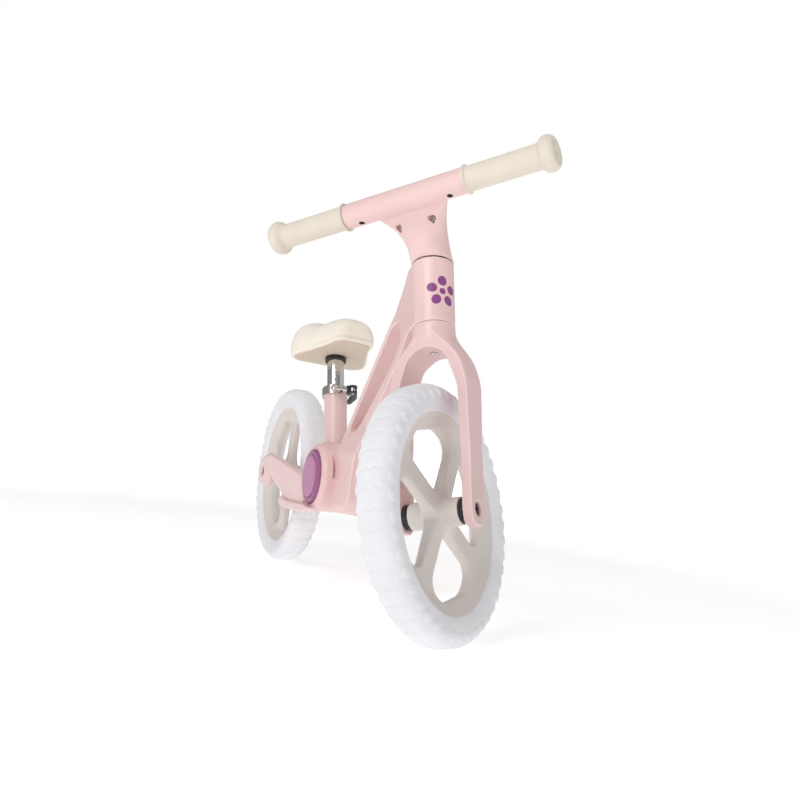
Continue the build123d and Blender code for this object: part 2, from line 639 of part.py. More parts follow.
def left_grip():
    """Soft grip with a thin inner flange and a mushroom end with a dished face."""
    bulb, inner_flange = 20.6, 17.2
    start, neck = SLEEVE_HALF + 0.3, GRIP_END - 21
    outline = Polyline((BAR_RADIUS, start), (inner_flange, start), (inner_flange, start + 2.5),
                       (GRIP_RADIUS, start + 4), (GRIP_RADIUS, neck))
    flare = Spline((GRIP_RADIUS, neck), (18.2, neck + 5.5), (bulb, neck + 12), tangents=[(0.1, 1), (0, 1)])
    cap = TangentArc((bulb, neck + 12), (15.5, GRIP_END), tangent=(0, 1))
    end = Polyline((15.5, GRIP_END), (13.5, GRIP_END - 1.2), (GRIP_BORE, GRIP_END - 1.2),
                   (GRIP_BORE, GRIP_END - 4), (BAR_RADIUS, GRIP_END - 4), (BAR_RADIUS, start))
    grip = revolve(make_face(outline + flare + cap + end), Axis.Y)
    return bar_place * grip


# ---- write every sub-part, each in its place ----

def at_front(pieces):
    """Turn and lift pieces of the steering group into the bike's frame."""
    return [turned_head * piece for piece in pieces]


def at_rear(pieces):
    """Lift pieces of the rear wheel onto its axle."""
    return [Pos(*REAR_AXLE) * piece for piece in pieces]


save("frame", frame_casting())
for side_name, pair in (("cap_ring", both_caps(cap_ring())), ("cap_insert", both_caps(cap_insert()))):
    save(f"right_{side_name}", pair[0])
    save(f"left_{side_name}", pair[1])
save("headset_outer_races", *[straight_head * piece for piece in headset("outer")])
save("headset_balls", *[straight_head * piece for piece in headset("balls")])

save("clamp_collar", clamp_collar())
save("clamp_skewer", skewer())
save("clamp_nut", skewer_nut())
save("clamp_cam_washer", cam_washer())
save("clamp_pivot_barrel", pivot_barrel())
save("clamp_lever", clamp_lever())

save("seatpost", seatpost())
save("seatpost_ring", post_ring())
save("saddle_base", saddle_base())
save("saddle_screws", *saddle_screws())
save("saddle_cushion", saddle_cushion())

save("fork", *at_front([fork_casting()]))
save("steerer_tube", *at_front([steerer()]))
save("crown_screw", *at_front([crown_screw()]))
save("steering_stop_pin", *at_front([stop_pin()]))
save("headset_inner_races", *at_front(headset("inner")))
save("headset_seal", *at_front([headset_seal()]))
save("stem", *at_front([stem()]))
save("stem_pinch_screws", *at_front(pinch_screws()))
save("bar_set_screws", *at_front(set_screws()))
save("handlebar", *at_front([handlebar()]))
left = left_grip()
save("left_grip", *at_front([left]))
save("right_grip", *at_front([mirror(left, about=Plane.XZ)]))

wheels = (("front", at_front, FORK_INNER, FORK_OUTER, FRONT_SPOKE),
          ("rear", at_rear, ARM_INNER, ARM_OUTER, REAR_SPOKE))
for end_name, place, inner_face, outer_face, first_spoke in wheels:
    save(f"{end_name}_wheel", *place([wheel_body(first_spoke)]))
    save(f"{end_name}_tyre", *place([tyre_body()]))
    fixed = {**hub_parts(inner_face), **axle_parts(outer_face)}
    for piece_name, pieces in fixed.items():
        save(f"{end_name}_{piece_name}", *place(pieces))
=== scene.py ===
"""Looks of the balance bike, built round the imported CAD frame.

Metres, x forward, y to the rider's left, z up, origin on the ground under the rear axle.
Cast, moulded and soft parts get their own meshes; small hardware keeps its CAD mesh.
"""
import json
from math import cos, hypot, pi, radians, sin

import bmesh
import bpy
from mathutils import Matrix, Vector


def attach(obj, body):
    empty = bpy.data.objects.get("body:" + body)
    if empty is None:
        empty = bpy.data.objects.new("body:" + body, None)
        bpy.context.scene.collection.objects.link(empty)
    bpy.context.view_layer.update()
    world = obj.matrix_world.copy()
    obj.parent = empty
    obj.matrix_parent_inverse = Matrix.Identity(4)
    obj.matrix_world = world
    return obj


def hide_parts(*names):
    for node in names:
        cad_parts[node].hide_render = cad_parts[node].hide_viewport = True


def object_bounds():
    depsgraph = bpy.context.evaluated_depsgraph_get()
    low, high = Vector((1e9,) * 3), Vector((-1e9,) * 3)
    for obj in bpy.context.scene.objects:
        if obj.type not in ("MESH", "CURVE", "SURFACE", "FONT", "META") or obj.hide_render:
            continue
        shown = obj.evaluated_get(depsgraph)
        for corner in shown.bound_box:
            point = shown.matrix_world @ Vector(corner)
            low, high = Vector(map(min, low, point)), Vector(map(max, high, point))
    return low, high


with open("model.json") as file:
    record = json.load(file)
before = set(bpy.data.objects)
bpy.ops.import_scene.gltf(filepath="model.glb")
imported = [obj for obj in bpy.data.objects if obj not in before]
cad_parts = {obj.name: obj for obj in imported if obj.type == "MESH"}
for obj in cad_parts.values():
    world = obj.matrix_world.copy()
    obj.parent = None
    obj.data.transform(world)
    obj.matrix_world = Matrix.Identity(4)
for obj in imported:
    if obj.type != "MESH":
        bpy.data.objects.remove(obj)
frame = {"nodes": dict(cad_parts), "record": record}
cad_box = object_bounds()

MM = 0.001
joints = {joint["name"]: joint for joint in frame["record"]["behaviour"]["joints"]}
slot_of = {part["node"]: part["material_slot"] for part in frame["record"]["subparts"]}
bodies = frame["record"]["behaviour"]["bodies"]
body_of = {node: body for body, nodes in bodies.items() for node in nodes}

# ---- driving sizes, as in the CAD ----
WHEEL_RADIUS = 145 * MM
TYRE_HALF = 20.6 * MM
TYRE_CORNER = 15 * MM              # radius of the tyre's shoulders
RIM_RADIUS = 113 * MM
RIM_HALF = 15.8 * MM
HEAD_RADIUS = 25.4 * MM
EMBLEM_ALONG = 260 * MM            # along the steering axis from the front axle
SADDLE_TILT = radians(15.6)        # slope of the saddle's underside
SADDLE_TURN = radians(5)           # the saddle's turn on its post, nose to the left
SADDLE_REAR = -40 * MM             # plan of the saddle's base, from the post's axis
SADDLE_NOSE = 70 * MM
REAR_HALF = 57.5 * MM
NOSE_HALF = 25 * MM
OVERHANG = 6.5 * MM
WING_OVERHANG = 4.5 * MM
SADDLE_TOP = 391 * MM              # height of the cushion's crown above the ground
SEAT_BASE = Vector((244.4, 0, 145)) * MM
SEAT_LEAN = radians(20)
POST_TOP = 203.8 * MM


# ---- frames of reference ----

def axes_at(origin, lateral, upward):
    """A matrix whose y is lateral and whose z is upward, as nearly as the two allow."""
    y = Vector(lateral).normalized()
    x = y.cross(Vector(upward)).normalized()
    z = x.cross(y)
    return Matrix.Translation(origin) @ Matrix((x, y, z)).transposed().to_4x4()


steering_up = Vector(joints["steering"]["axis"]).normalized()
front_axle = Vector(joints["front_wheel_spin"]["pos_m"])
rear_axle = Vector(joints["rear_wheel_spin"]["pos_m"])
left = Vector((0, 1, 0))
front_wheel_place = axes_at(front_axle, joints["front_wheel_spin"]["axis"], steering_up)
rear_wheel_place = axes_at(rear_axle, left, Vector((0, 0, 1)))
head_place = axes_at(front_axle, left, steering_up)
post_up = Vector((-sin(SEAT_LEAN), 0, cos(SEAT_LEAN)))
saddle_origin = SEAT_BASE + post_up * POST_TOP
saddle_turn = Matrix.Rotation(SADDLE_TURN, 3, post_up)
saddle_place = axes_at(saddle_origin, saddle_turn @ left,
                       saddle_turn @ Vector((-sin(SADDLE_TILT), 0, cos(SADDLE_TILT))))


# ---- material building blocks ----

class Look:
    """A principled material with the few node patterns that every finish here is made from."""

    def __init__(self, name):
        self.material = bpy.data.materials.new(name)
        self.material.use_nodes = True
        self.nodes = self.material.node_tree.nodes
        self.links = self.material.node_tree.links
        self.shader = self.nodes["Principled BSDF"]
        self.place = self.nodes.new("ShaderNodeTexCoord").outputs["Object"]
        self.height = None

    def set(self, **values):
        """Set uniform values on the shader's own sockets. Underscores stand for spaces."""
        for name, value in values.items():
            self.shader.inputs[name.replace("_", " ")].default_value = value
        return self

    def noise(self, scale, detail=3, roughness=0.55, stretch=None):
        """Noise, scale in waves per metre, optionally stretched along an axis."""
        node = self.nodes.new("ShaderNodeTexNoise")
        node.inputs["Scale"].default_value = scale
        node.inputs["Detail"].default_value = detail
        node.inputs["Roughness"].default_value = roughness
        self.links.new(self.stretched(stretch), node.inputs["Vector"])
        return node.outputs["Fac"]

    def cells(self, scale, feature="F1", smooth=False):
        """Voronoi cells: pores, grain and speckles."""
        node = self.nodes.new("ShaderNodeTexVoronoi")
        node.feature = "SMOOTH_F1" if smooth else feature
        node.inputs["Scale"].default_value = scale
        self.links.new(self.place, node.inputs["Vector"])
        return node.outputs["Distance"]

    def stretched(self, stretch):
        """The object's coordinates, scaled per axis if asked."""
        if stretch is None:
            return self.place
        node = self.nodes.new("ShaderNodeMapping")
        node.inputs["Scale"].default_value = stretch
        self.links.new(self.place, node.inputs["Vector"])
        return node.outputs["Vector"]

    def ramp(self, source, low, high, start=0.0, end=1.0):
        """Remap a value from low..high to start..end."""
        node = self.nodes.new("ShaderNodeMapRange")
        node.inputs["From Min"].default_value = low
        node.inputs["From Max"].default_value = high
        node.inputs["To Min"].default_value = start
        node.inputs["To Max"].default_value = end
        self.links.new(source, node.inputs["Value"])
        return node.outputs["Result"]

    def mix(self, factor, first, second):
        """Blend two colours, each a tuple or a socket."""
        node = self.nodes.new("ShaderNodeMix")
        node.data_type = "RGBA"
        self.links.new(factor, node.inputs["Factor"])
        for socket, colour in ((node.inputs[6], first), (node.inputs[7], second)):
            if isinstance(colour, tuple):
                socket.default_value = (*colour, 1)
            else:
                self.links.new(colour, socket)
        return node.outputs[2]

    def colour(self, source):
        """Take the base colour from a socket."""
        self.links.new(source, self.shader.inputs["Base Color"])
        return self

    def roughness(self, source):
        """Take the roughness from a socket."""
        self.links.new(source, self.shader.inputs["Roughness"])
        return self

    def bump(self, source, depth, strength=1.0):
        """Add a bump of that depth in metres on top of those before it."""
        node = self.nodes.new("ShaderNodeBump")
        node.inputs["Strength"].default_value = strength
        node.inputs["Distance"].default_value = depth
        self.links.new(source, node.inputs["Height"])
        if self.height:
            self.links.new(self.height, node.inputs["Normal"])
        self.height = node.outputs["Normal"]
        self.links.new(self.height, self.shader.inputs["Normal"])
        return self

    def edges(self, low=0.51, high=0.56):
        """1 on sharp outer edges, 0 elsewhere."""
        return self.ramp(self.nodes.new("ShaderNodeNewGeometry").outputs["Pointiness"], low, high)

    def shade_in_hollows(self, low=0.49, high=0.44):
        """1 in tight recesses, 0 elsewhere: the mask for painted shade."""
        return self.ramp(self.nodes.new("ShaderNodeNewGeometry").outputs["Pointiness"], low, high)


# ---- materials ----

def cast_paint():
    """Satin pink paint over a casting: faint orange peel, paler worn edges, and painted shade in the
    recesses, a darker, deeper pink.
    """
    look = Look("pink_paint").set(Coat_Weight=0.35, Coat_Roughness=0.28, IOR=1.45)
    drift = look.ramp(look.noise(9, 4), 0.35, 0.65)
    base = look.mix(drift, (0.785, 0.550, 0.535), (0.812, 0.585, 0.570))
    worn = look.mix(look.edges(), base, (0.87, 0.70, 0.69))
    # painted shade: tight recesses darkened to a deeper pink
    look.colour(look.mix(look.shade_in_hollows(), worn, (0.66, 0.36, 0.35)))
    look.roughness(look.ramp(look.noise(60, 5), 0.3, 0.7, 0.36, 0.46))
    look.bump(look.noise(900, 2), 0.00006, 0.5)
    return look.bump(look.noise(120, 2), 0.00012, 0.4).material


def cap_plastic(name, colour, shade):
    """Fine-sparked moulded plastic."""
    look = Look(name).set(IOR=1.46)
    drift = look.ramp(look.noise(40, 4), 0.35, 0.65)
    look.colour(look.mix(look.edges(0.5, 0.6), look.mix(drift, colour, shade), (0.52, 0.24, 0.40)))
    look.roughness(look.ramp(look.noise(300, 4), 0.3, 0.7, 0.38, 0.5))
    return look.bump(look.cells(2500), 0.00004, 0.5).material


def wheel_plastic():
    """Smooth greige moulding with faint flow lines."""
    look = Look("greige_plastic").set(Coat_Weight=0.15, Coat_Roughness=0.3, IOR=1.47)
    drift = look.ramp(look.noise(14, 4), 0.3, 0.7)
    base = look.mix(drift, (0.690, 0.635, 0.590), (0.725, 0.675, 0.635))
    look.colour(look.mix(look.edges(), base, (0.78, 0.73, 0.69)))
    look.roughness(look.ramp(look.noise(70, 4, stretch=(1, 4, 1)), 0.3, 0.7, 0.38, 0.5))
    return look.bump(look.noise(700, 3), 0.00005, 0.5).material


def tyre_foam():
    """White foam with a pebbled skin, tiny pores and faint grey scuffs."""
    look = Look("white_foam_tyre").set(IOR=1.4, Sheen_Weight=0.1, Sheen_Roughness=0.5)
    patches = look.ramp(look.noise(22, 5), 0.35, 0.7)
    base = look.mix(patches, (0.86, 0.86, 0.89), (0.80, 0.80, 0.835))
    pores = look.ramp(look.cells(1400), 0.0, 0.28, 1.0, 0.0)
    dotted = look.mix(pores, base, (0.72, 0.72, 0.76))
    # painted shade: tight recesses of the tread darkened to grey
    look.colour(look.mix(look.shade_in_hollows(0.485, 0.42), dotted, (0.70, 0.70, 0.74)))
    look.roughness(look.ramp(look.noise(90, 4), 0.3, 0.7, 0.62, 0.8))
    look.bump(look.cells(900, smooth=True), 0.0002, 0.35)
    return look.bump(look.noise(180, 4), 0.0004, 0.3).material


def grip_rubber():
    """Soft cream rubber with a velvety fine grain."""
    look = Look("grip_rubber").set(IOR=1.45, Sheen_Weight=0.15, Sheen_Roughness=0.4)
    drift = look.ramp(look.noise(30, 4), 0.3, 0.7)
    base = look.mix(drift, (0.705, 0.635, 0.535), (0.745, 0.685, 0.59))
    # painted shade: tight recesses darkened to brown
    look.colour(look.mix(look.shade_in_hollows(0.49, 0.43), base, (0.60, 0.50, 0.40)))
    look.roughness(look.ramp(look.noise(120, 4), 0.3, 0.7, 0.5, 0.62))
    look.bump(look.cells(1800), 0.00006, 0.4)
    return look.bump(look.noise(250, 3, stretch=(1, 1, 3)), 0.0001, 0.25).material


def saddle_cover():
    """Cream synthetic leather: small pebbled grain, soft creases, and painted shade in the recesses, a
    darker brown.
    """
    look = Look("cream_cover").set(IOR=1.45, Coat_Weight=0.08, Coat_Roughness=0.4)
    drift = look.ramp(look.noise(18, 5), 0.3, 0.7)
    base = look.mix(drift, (0.88, 0.815, 0.70), (0.91, 0.86, 0.765))
    # painted shade: tight recesses darkened to brown
    look.colour(look.mix(look.shade_in_hollows(0.495, 0.44), base, (0.66, 0.53, 0.38)))
    look.roughness(look.ramp(look.noise(140, 4), 0.3, 0.7, 0.42, 0.56))
    look.bump(look.cells(1100, smooth=True), 0.00022, 0.4)
    return look.bump(look.noise(55, 4), 0.0005, 0.18).material


def base_plastic():
    """Matt moulding with a sparked skin, the saddle's cream darkened to tan as painted shade on its
    underside.
    """
    look = Look("tan_plastic").set(IOR=1.46)
    drift = look.ramp(look.noise(25, 4), 0.3, 0.7)
    # painted shade: tan stands for the cream base seen in its own shade under the saddle
    base = look.mix(drift, (0.52, 0.415, 0.31), (0.57, 0.46, 0.355))
    look.colour(look.mix(look.edges(), base, (0.68, 0.58, 0.47)))
    look.roughness(look.ramp(look.noise(160, 3), 0.3, 0.7, 0.5, 0.62))
    return look.bump(look.cells(1600), 0.00008, 0.5).material


def chrome(name, pitted=False):
    """Bright plating with faint smears and hairline polishing marks, over a dimpled tube if asked."""
    look = Look(name).set(Metallic=1.0)
    if pitted:
        look.bump(look.cells(420, smooth=True), 0.0005, 0.35)
    smear = look.ramp(look.noise(35, 5), 0.35, 0.7)
    look.colour(look.mix(smear, (0.78, 0.77, 0.76), (0.66, 0.65, 0.64)))
    look.roughness(look.ramp(look.noise(220, 4, stretch=(1, 1, 0.05)), 0.3, 0.7, 0.06, 0.17))
    return look.bump(look.noise(500, 2, stretch=(1, 1, 0.08)), 0.00002, 0.4).material


def ground_steel(name, colour, rough):
    """Turned or ground steel with fine marks."""
    look = Look(name).set(Metallic=1.0)
    tone = look.ramp(look.noise(60, 4), 0.3, 0.7)
    look.colour(look.mix(tone, colour, tuple(0.8 * part for part in colour)))
    look.roughness(look.ramp(look.noise(400, 4), 0.3, 0.7, rough - 0.08, rough + 0.1))
    return look.bump(look.noise(900, 2), 0.00003, 0.5).material


def black_plastic(name, rough):
    """Black moulding, dustier in patches and greyer along its edges."""
    look = Look(name).set(IOR=1.47)
    dust = look.ramp(look.noise(60, 5), 0.4, 0.75)
    base = look.mix(dust, (0.006, 0.006, 0.008), (0.013, 0.013, 0.016))
    look.colour(look.mix(look.edges(0.55, 0.75), base, (0.03, 0.03, 0.033)))
    look.roughness(look.ramp(look.noise(200, 4), 0.3, 0.7, rough - 0.07, rough + 0.08))
    return look.bump(look.cells(1500), 0.00006, 0.5).material


looks = {
    "pink_paint": cast_paint(),
    "purple_plastic": cap_plastic("purple_plastic", (0.25, 0.062, 0.185), (0.29, 0.08, 0.215)),
    "mauve_plastic": cap_plastic("mauve_plastic", (0.46, 0.18, 0.345), (0.50, 0.215, 0.385)),
    "greige_plastic": wheel_plastic(),
    "white_foam_tyre": tyre_foam(),
    "grip_rubber": grip_rubber(),
    "cream_cover": saddle_cover(),
    "tan_plastic": base_plastic(),
    "chrome": chrome("chrome"),
    "bearing_steel": ground_steel("bearing_steel", (0.58, 0.57, 0.56), 0.28),
    "black_screw": ground_steel("black_screw", (0.06, 0.06, 0.065), 0.35),
    "black_plastic": black_plastic("black_plastic", 0.36),
    "black_rubber": black_plastic("black_rubber", 0.55),
}


def emblem_paint():
    """Plum print on the head tube, slightly mottled."""
    look = Look("emblem_print").set(IOR=1.45)
    tone = look.ramp(look.noise(250, 5), 0.3, 0.7)
    look.colour(look.mix(tone, (0.235, 0.052, 0.215), (0.28, 0.072, 0.255)))
    look.roughness(look.ramp(look.noise(300, 3), 0.3, 0.7, 0.36, 0.48))
    return look.bump(look.noise(1500, 2), 0.00002, 0.5).material


# ---- mesh helpers ----

def smooth_step(start, end, value):
    """0 before start, 1 after end, eased between them. The two may be in either order."""
    share = min(max((value - start) / (end - start), 0.0), 1.0)
    return share * share * (3 - 2 * share)


def new_piece(name, mesh, material, body):
    """A smooth-shaded object with that mesh, riding on a body."""
    piece = bpy.data.objects.new(name, mesh)
    bpy.context.scene.collection.objects.link(piece)
    mesh.materials.clear()
    mesh.materials.append(material)
    for face in mesh.polygons:
        face.use_smooth = True
    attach(piece, body)
    return piece


def baked(source):
    """The mesh of an object with its modifiers applied."""
    shown = source.evaluated_get(bpy.context.evaluated_depsgraph_get())
    return bpy.data.meshes.new_from_object(shown)


def remeshed(mesh, voxel, rounds):
    """A mesh rebuilt on an even grid and smoothed that many rounds."""
    work = bpy.data.objects.new("work", mesh)
    bpy.context.scene.collection.objects.link(work)
    remesh = work.modifiers.new("remesh", "REMESH")
    remesh.mode = "VOXEL"
    remesh.voxel_size = voxel
    smooth = work.modifiers.new("smooth", "SMOOTH")
    smooth.factor = 0.5
    smooth.iterations = rounds
    mesh = baked(work)
    bpy.data.objects.remove(work)
    return mesh


def softened(mesh, weight_at, rounds):
    """A mesh smoothed further where weight_at(point) is above 0."""
    work = bpy.data.objects.new("work", mesh)
    bpy.context.scene.collection.objects.link(work)
    group = work.vertex_groups.new(name="soft")
    for vertex in mesh.vertices:
        group.add([vertex.index], weight_at(vertex.co), "REPLACE")
    smooth = work.modifiers.new("smooth", "SMOOTH")
    smooth.factor = 0.5
    smooth.iterations = rounds
    smooth.vertex_group = group.name
    mesh = baked(work)
    bpy.data.objects.remove(work)
    return mesh


def joined_mesh(node, extra=None):
    """A copy of a CAD node's mesh with its seams closed, and another mesh joined to it."""
    work = bmesh.new()
    work.from_mesh(frame["nodes"][node].data)
    bmesh.ops.remove_doubles(work, verts=work.verts, dist=1e-6)
    if extra:
        work.from_mesh(extra)
    mesh = bpy.data.meshes.new(node + "_joined")
    work.to_mesh(mesh)
    work.free()
    return mesh


def cast_copy(node, voxel, rounds):
    """A softened copy of a CAD node: corners rounded and joints blended, as in a casting."""
    return stand_in(node, remeshed(joined_mesh(node), voxel, rounds))


def stand_in(node, mesh):
    """A piece with that mesh, shown in place of a CAD node."""
    slot = slot_of[node]
    piece = new_piece(node + "_cast", mesh, looks[slot], body_of[node])
    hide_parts(node)
    return piece


def ring_mesh(name, rings):
    """A mesh through closed rings of points, each ring joined to the next and the last to the first."""
    mesh = bpy.data.meshes.new(name)
    count, across = len(rings), len(rings[0])
    points = [point for ring in rings for point in ring]
    faces = []
    for i in range(count):
        for j in range(across):
            after, beside = (i + 1) % count, (j + 1) % across
            faces.append((i * across + j, i * across + beside, after * across + beside, after * across + j))
    mesh.from_pydata(points, [], faces)
    return mesh


# ---- wheels ----

WHEEL_VOXEL = 1.3 * MM
WHEEL_ROUNDS = 4                   # smoothing of the whole wheel
SPOKE_ROUNDS = 34                  # smoothing of its spokes on top of that


def wheel(end, place):
    """A moulded wheel whose spokes are soft bars. Its tyre channel, which is out of sight, is filled."""
    channel = [(102, 7.5), (104.5, 10.8), (113.9, 13.2), (113.9, -13.2), (104.5, -10.8), (102, -7.5)]
    rings = []
    for degree in range(360):
        angle = radians(degree)
        rings.append([place @ (Vector((radius * cos(angle), side, radius * sin(angle))) * MM)
                      for radius, side in channel])
    inverse = place.inverted()

    def spoke_weight(point):
        """1 on the spokes, 0 on the hub's barrel and towards the rim's edge."""
        local = inverse @ point
        radius = hypot(local.x, local.z)
        return smooth_step(14 * MM, 20 * MM, radius) * smooth_step(108 * MM, 98 * MM, radius)

    filled = joined_mesh(f"{end}_wheel", ring_mesh(f"{end}_channel", rings))
    mesh = remeshed(filled, WHEEL_VOXEL, WHEEL_ROUNDS)
    return stand_in(f"{end}_wheel", softened(mesh, spoke_weight, SPOKE_ROUNDS))


# ---- tyres ----

KNOBS = 44
RING_STEPS = 660
GROOVE = 0.85 * MM                  # depth of the sipes
KNOB_RISE = 1.5 * MM               # height of the shoulder knobs
KNOB_FROM_CROWN = 25.5 * MM        # measured round the section
KNOB_LONG = 6.0 * MM
KNOB_WIDE = 5.2 * MM
TREAD_HALF = 19 * MM               # the sipes fade out here, measured round the section
ZIGZAG_PITCH = 6.5 * MM
ZIGZAG_SWING = 3.2 * MM
CUT_FROM_CROWN = 10.5 * MM         # a shallow cut runs right round the tyre on each side


def tyre_profile():
    """(radius, side, outward radius, outward side, distance from the crown) round the tyre's section."""
    half = []
    flat = TYRE_HALF - TYRE_CORNER
    crown_steps, shoulder_steps, wall_steps = 6, 18, 10
    for i in range(crown_steps):
        side = flat * i / crown_steps
        half.append((WHEEL_RADIUS, side, 1.0, 0.0, side))
    for i in range(shoulder_steps + 1):
        turn = pi / 2 * i / shoulder_steps
        half.append((WHEEL_RADIUS - TYRE_CORNER + TYRE_CORNER * cos(turn), flat + TYRE_CORNER * sin(turn),
                     cos(turn), sin(turn), flat + TYRE_CORNER * turn))
    travelled = flat + TYRE_CORNER * pi / 2
    drop = WHEEL_RADIUS - TYRE_CORNER - RIM_RADIUS
    for i in range(1, wall_steps + 1):
        share = i / wall_steps
        side = TYRE_HALF - (TYRE_HALF - RIM_HALF) * share ** 2.2
        half.append((WHEEL_RADIUS - TYRE_CORNER - drop * share, side, 0.0, 1.0, travelled + drop * share))
    half.append((RIM_RADIUS - 2 * MM, RIM_HALF - 3 * MM, 0.0, 0.0, 0.0))
    half.append((RIM_RADIUS - 1.5 * MM, RIM_HALF / 2, 0.0, 0.0, 0.0))
    other = [(radius, -side, out, -outward, -run)
             for radius, side, out, outward, run in reversed(half[1:])]
    return half + other


def tread_relief(angle, run):
    """Height of the tread at an angle round the wheel and a distance from the crown, in metres."""
    distance = abs(run)
    step = 2 * pi / KNOBS
    shift = 0.5 if run < 0 else 0.0
    along = ((angle / step + shift) % 1 - 0.5) * step * WHEEL_RADIUS
    knob = hypot(along / KNOB_LONG, (distance - KNOB_FROM_CROWN) / KNOB_WIDE)
    relief = KNOB_RISE * smooth_step(1.2, 0.7, knob)
    if distance < TREAD_HALF:
        zigzag = abs((distance / ZIGZAG_PITCH) % 2 - 1) * ZIGZAG_SWING
        spacing = step * WHEEL_RADIUS
        line = (angle * WHEEL_RADIUS + zigzag) % spacing
        nearest = min(line, spacing - line)
        fade = smooth_step(TREAD_HALF, TREAD_HALF - 4 * MM, distance)
        relief -= GROOVE * fade * smooth_step(2.4 * MM, 0.8 * MM, nearest)
        relief -= 0.35 * GROOVE * smooth_step(1.8 * MM, 0.6 * MM, abs(distance - CUT_FROM_CROWN))
    return relief


def tyre(end, place):
    """Foam tyre with oval shoulder knobs and a zig-zag sipe across every block."""
    profile = tyre_profile()
    rings = []
    for i in range(RING_STEPS):
        angle = 2 * pi * i / RING_STEPS
        ring = []
        for radius, side, out, outward, run in profile:
            relief = tread_relief(angle, run) if (out or outward) else 0.0
            r = radius + out * relief
            ring.append(place @ Vector((r * cos(angle), side + outward * relief, r * sin(angle))))
        rings.append(ring)
    slot = "white_foam_tyre"
    name = f"{end}_tyre_foam"
    piece = new_piece(name, ring_mesh(name, rings), looks[slot], f"{end}_wheel")
    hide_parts(f"{end}_tyre")
    return piece


# ---- saddle ----

ROUND_STEPS = 144


PLAN_MIDDLE = 14 * MM              # the point, ahead of the post, that the plan is drawn round


def turn_at(j):
    """Angle of one of the evenly spaced directions round the cushion."""
    return 2 * pi * j / ROUND_STEPS


def edge_distance(turn):
    """Distance from the plan's middle to its straight-sided outline in one direction."""
    back, front = SADDLE_REAR - OVERHANG, SADDLE_NOSE + OVERHANG
    wide = REAR_HALF + OVERHANG + WING_OVERHANG
    narrow = NOSE_HALF + OVERHANG
    side = [(front, 0), (front, narrow), (52 * MM, narrow * 1.18), (17 * MM, wide * 0.74),
            (back + 14 * MM, wide), (back, wide * 0.8), (back, 0)]
    c, s = cos(turn), abs(sin(turn))
    for (x0, y0), (x1, y1) in zip(side, side[1:]):
        x0, x1 = x0 - PLAN_MIDDLE, x1 - PLAN_MIDDLE
        across = (x1 - x0) * s - (y1 - y0) * c
        share = (y0 * c - x0 * s) / across if across else -1
        x, y = x0 + (x1 - x0) * share, y0 + (y1 - y0) * share
        if -1e-9 <= share <= 1 + 1e-9 and x * c + y * s > 0:
            return hypot(x, y)
    return 0.0


def waist(turn):
    """How far the cover is drawn in along the flanks, between the nose and the wings."""
    from_nose = min(turn, 2 * pi - turn)
    ahead = smooth_step(radians(22), radians(50), from_nose)
    behind = smooth_step(radians(135), radians(105), from_nose)
    return 4.5 * MM * ahead * behind


def saddle_outline():
    """The plan's edge distance in every direction, its corners rounded by averaging neighbours."""
    sharp = [edge_distance(turn_at(j)) - waist(turn_at(j)) for j in range(ROUND_STEPS)]
    spread = 5
    rounded = []
    for j in range(ROUND_STEPS):
        near = [sharp[(j + k) % ROUND_STEPS] for k in range(-spread, spread + 1)]
        rounded.append(sum(near) / len(near))
    return rounded


def toward_edge(outline, j, share, inset=0.0):
    """A plan point on the way from the cushion's spine to its edge, less an inset."""
    reach = outline[j] - inset
    x, y = PLAN_MIDDLE + reach * cos(turn_at(j)), reach * sin(turn_at(j))
    spine = min(max(x, SADDLE_REAR + 38 * MM), SADDLE_NOSE - 16 * MM)
    return spine + (x - spine) * share, y * share


def cushion_top(x, y):
    """Height of the cushion's top above the base plane: level crown, dipped middle, domed wings."""
    rise = (SADDLE_TOP - saddle_origin.z - x * sin(SADDLE_TILT)) / cos(SADDLE_TILT)
    nose = 2.0 * MM * smooth_step(15 * MM, 45 * MM, x)
    dip = 6.0 * MM * (1 - abs(smooth_step(-40 * MM, 55 * MM, x) * 2 - 1))
    groove = 3.5 * MM * smooth_step(18 * MM, 0.0, abs(y)) * smooth_step(40 * MM, -10 * MM, x)
    return rise + nose - dip - groove


LIP = 7 * MM                       # height of the seam line above the underside
SADDLE_RINGS = 32                  # rows of points from the lip up to the crown
# (inset from the plan, height above the underside) in millimetres, from under the cushion up to the lip
SKIRT = [(9.0, 1.6), (5.0, 1.2), (3.4, 1.6), (2.0, 2.8), (1.2, 4.4), (1.0, 5.6)]


def seam_row(outline):
    """The pinched line above the lip: deep round the nose, fading out along the wings."""
    row = []
    for j in range(ROUND_STEPS):
        ahead = PLAN_MIDDLE + outline[j] * cos(turn_at(j))
        pinch = 1.0 * MM + 1.3 * MM * smooth_step(-5 * MM, 45 * MM, ahead)
        x, y = toward_edge(outline, j, 1.0, pinch)
        row.append(saddle_place @ Vector((x, y, LIP - 0.4 * MM)))
    return row


